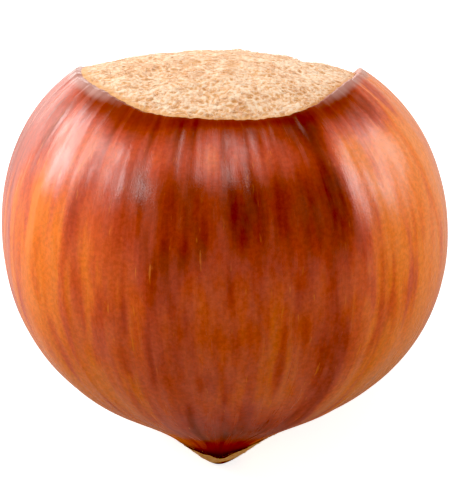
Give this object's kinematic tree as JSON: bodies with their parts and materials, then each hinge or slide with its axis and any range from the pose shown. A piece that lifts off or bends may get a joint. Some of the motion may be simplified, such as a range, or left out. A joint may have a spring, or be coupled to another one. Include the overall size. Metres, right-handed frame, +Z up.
{
  "type": "hazelnut",
  "caption": "Whole hazelnut in its shell: a broad ribbed body with a pale corky scar at one end and a short blunt point at the other, lying on its tapered side.",
  "frame": {"origin": "on the small flat spot that the nut rests on, straight under its centre of mass", "axes": "+Z up from the table; +X across the nut's broadest width; the point lies low towards -Y and the scar faces up towards +Y, 55 degrees above the table"},
  "size_m": [0.02, 0.0186, 0.0177],
  "materials": {
    "shell": "satin shell, red-brown with darker and golden streaks from the point to the scar",
    "scar": "dull corky cream where the nut sat in its husk",
    "tip": "dull tan fibres round the point"
  },
  "bodies": {
    "root": {"hazelnut": "shell"}
  },
  "joints": []
}
